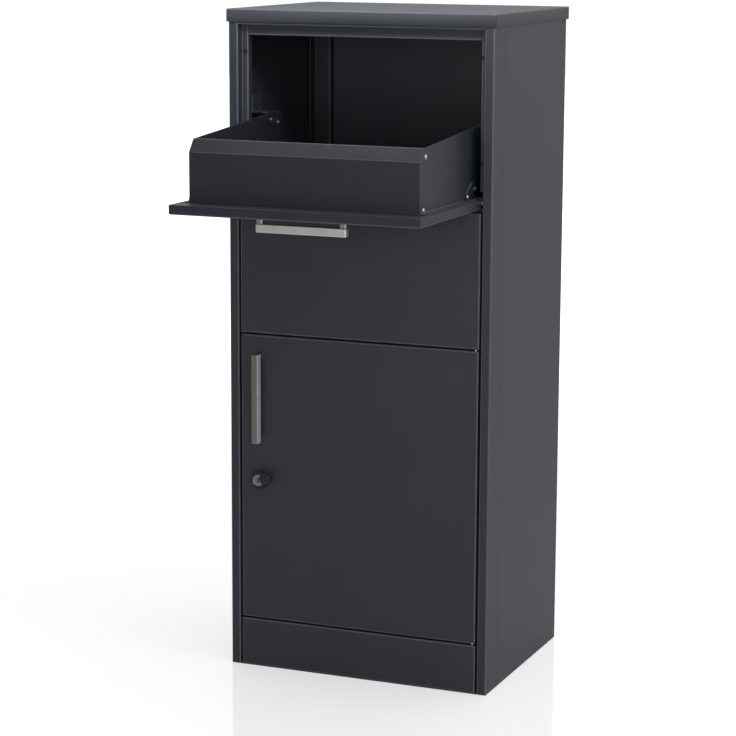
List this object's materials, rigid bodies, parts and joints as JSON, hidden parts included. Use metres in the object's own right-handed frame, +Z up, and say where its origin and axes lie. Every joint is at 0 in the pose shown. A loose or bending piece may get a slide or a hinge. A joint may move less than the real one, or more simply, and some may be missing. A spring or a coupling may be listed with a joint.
{
  "type": "parcel drop box",
  "caption": "Tall folded-steel parcel drop box with a tilting hopper and tray above, a fixed panel, and a lockable right-hinged door below.",
  "frame": {"origin": "middle of the floor anchor pattern, on the underside of the base, which is the middle of the cabinet's footprint", "axes": "+X to the right seen from the front, +Y to the back, +Z up"},
  "size_m": [0.426, 0.5695, 1.01],
  "materials": {
    "body_coat": "satin anthracite powder coat with a fine texture",
    "inner_coat": "satin anthracite powder coat, inside",
    "plated_steel": "zinc plated",
    "handle_nickel": "brushed nickel",
    "lock_nickel": "satin nickel",
    "black_plastic": "moulded black plastic",
    "nylon": "black nylon",
    "rubber": "matte black rubber"
  },
  "bodies": {
    "cabinet": {"roof_cap": "body_coat", "roof_clips": "inner_coat", "side_panel_left": "body_coat", "side_panel_right": "body_coat", "back_panel": "body_coat", "base_pan": "inner_coat", "front_post_left": "body_coat", "front_post_right": "body_coat", "top_rail": "body_coat", "mid_panel": "body_coat", "cross_rail": "inner_coat", "sill_rail": "inner_coat", "plinth_panel": "body_coat", "rear_channel_left": "inner_coat", "rear_channel_right": "inner_coat", "fixed_baffle": "inner_coat", "baffle_brackets": "inner_coat", "hopper_stop_brackets": "plated_steel", "hopper_stop_buffers": "rubber", "hopper_pivot_plates": "plated_steel", "hopper_pivot_bushes": "nylon", "door_pivot_plates": "plated_steel", "door_pivot_bushes": "nylon", "flap_pads": "rubber", "door_pads": "rubber", "panel_rivets": "body_coat", "back_panel_screws": "body_coat"},
    "hopper": {"hopper_flap": "body_coat", "flap_liner": "inner_coat", "tray_front": "body_coat", "tray_side_left": "body_coat", "tray_side_right": "body_coat", "tray_floor": "inner_coat", "tray_foot_angles": "body_coat", "hinge_gussets": "body_coat", "stop_lugs": "plated_steel", "tray_screws": "plated_steel", "hopper_pivot_blocks": "plated_steel", "hopper_pivot_pins": "plated_steel", "hopper_handle": "handle_nickel", "hopper_handle_screws": "plated_steel"},
    "door": {"door_skin": "body_coat", "door_liner": "inner_coat", "door_pivot_blocks": "plated_steel", "door_pivot_pins": "plated_steel", "door_handle": "handle_nickel", "door_handle_screws": "plated_steel", "lock_rosette": "black_plastic", "lock_housing": "lock_nickel", "lock_nut": "plated_steel"},
    "lock": {"lock_plug": "lock_nickel", "lock_cam": "plated_steel", "lock_cam_screw": "plated_steel"}
  },
  "joints": [
    {"name": "hopper_tilt", "type": "hinge", "parent": "cabinet", "child": "hopper", "pos_m": [0, -0.156, 0.7385], "axis": [1, 0, 0], "range_deg": [-90, 0]},
    {"name": "door_swing", "type": "hinge", "parent": "cabinet", "child": "door", "pos_m": [0.186, -0.16, 0.3], "axis": [0, 0, 1], "range_deg": [0, 110]},
    {"name": "lock_turn", "type": "hinge", "parent": "door", "child": "lock", "pos_m": [-0.1595, -0.165, 0.298], "axis": [0, 1, 0], "range_deg": [0, 90]}
  ]
}
